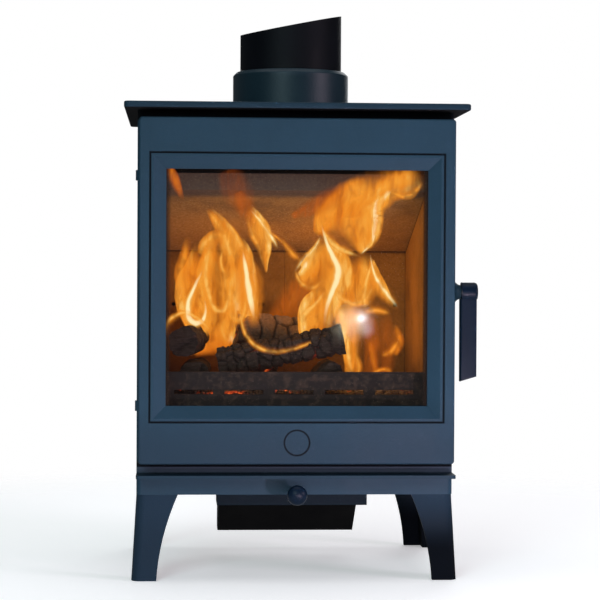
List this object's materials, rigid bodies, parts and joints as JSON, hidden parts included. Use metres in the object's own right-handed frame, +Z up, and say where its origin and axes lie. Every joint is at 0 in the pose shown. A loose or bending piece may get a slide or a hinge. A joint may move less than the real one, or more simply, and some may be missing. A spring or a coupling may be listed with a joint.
{
  "type": "wood stove",
  "caption": "Small rectangular wood stove on four tapered legs, with a glazed side-hung door, turning latch handle, push-pull air control and a top flue collar with a cut pipe stub.",
  "frame": {"origin": "on the floor under the middle of the whole object's box, which reaches from the top plate's left edge to the handle and from the air knob to the top plate's back edge", "axes": "+X towards the stove's right side as seen from the front, where the handle is; +Y towards its back; +Z up"},
  "size_m": [0.42, 0.365, 0.6923],
  "materials": {
    "stove_paint": "matt blue-grey stove paint over fine sand-cast iron",
    "panel_paint": "the same matt blue-grey stove paint on plain steel plate",
    "black_steel": "matt black heat-resistant paint on steel sheet",
    "handle_paint": "satin dark blue-black paint",
    "plain_steel": "plain turned or cut steel, slightly heat-tinted",
    "firebrick": "pressed vermiculite board, sooted towards the bottom",
    "rope_seal": "knitted glass-fibre rope and flat tape",
    "charred_wood": "charred split logs with grey ash on the cracked faces",
    "embers": "glowing charcoal lumps and ash",
    "stove_glass": "clear heat-resistant ceramic glass"
  },
  "bodies": {
    "stove_body": {"air_duct": "panel_paint", "air_inlet": "black_steel", "air_riser": "black_steel", "air_spigot": "black_steel", "airwash_deflector": "black_steel", "baffle": "firebrick", "base_plate": "panel_paint", "ember_bed": "embers", "firebox_floor": "black_steel", "floor_brick_left": "firebrick", "floor_brick_right": "firebrick", "flue_collar": "stove_paint", "flue_pipe": "black_steel", "front_frame": "stove_paint", "hinge_lug_lower": "stove_paint", "hinge_lug_upper": "stove_paint", "hinge_pin_lower": "plain_steel", "hinge_pin_upper": "plain_steel", "leg_front_left": "stove_paint", "leg_front_right": "stove_paint", "leg_rear_left": "stove_paint", "leg_rear_right": "stove_paint", "log_back": "charred_wood", "log_base_left": "charred_wood", "log_base_middle": "charred_wood", "log_base_right": "charred_wood", "log_front": "charred_wood", "log_guard": "black_steel", "log_left": "charred_wood", "rear_brick_left": "firebrick", "rear_brick_right": "firebrick", "rear_panel": "panel_paint", "side_brick_left": "firebrick", "side_brick_right": "firebrick", "side_panel_left": "panel_paint", "side_panel_right": "panel_paint", "skirt_front": "panel_paint", "skirt_left": "panel_paint", "skirt_rear": "panel_paint", "skirt_right": "panel_paint", "strike_plate": "plain_steel", "top_plate": "stove_paint"},
    "door": {"door_casting": "stove_paint", "door_glass": "stove_glass", "glass_gasket": "rope_seal", "glass_retainer_top": "plain_steel", "glass_retainer_bottom": "plain_steel", "retainer_screw_1": "plain_steel", "retainer_screw_2": "plain_steel", "retainer_screw_3": "plain_steel", "retainer_screw_4": "plain_steel", "door_seal": "rope_seal", "handle_bush": "stove_paint"},
    "handle": {"handle_spindle": "plain_steel", "handle_hub": "handle_paint", "handle_grip": "handle_paint", "latch_hook": "plain_steel"},
    "air_control": {"air_knob": "handle_paint", "air_rod": "plain_steel", "air_damper": "black_steel"}
  },
  "joints": [
    {"name": "door_hinge", "type": "hinge", "parent": "stove_body", "child": "door", "pos_m": [-0.187, -0.149, 0.34625], "axis": [0, 0, -1], "range_deg": [0, 105]},
    {"name": "handle_turn", "type": "hinge", "parent": "door", "child": "handle", "pos_m": [0.185, -0.149, 0.34625], "axis": [-1, 0, 0], "range_deg": [0, 50]},
    {"name": "air_slide", "type": "slide", "parent": "stove_body", "child": "air_control", "axis": [0, -1, 0], "range_m": [-0.034, 0.012]}
  ]
}
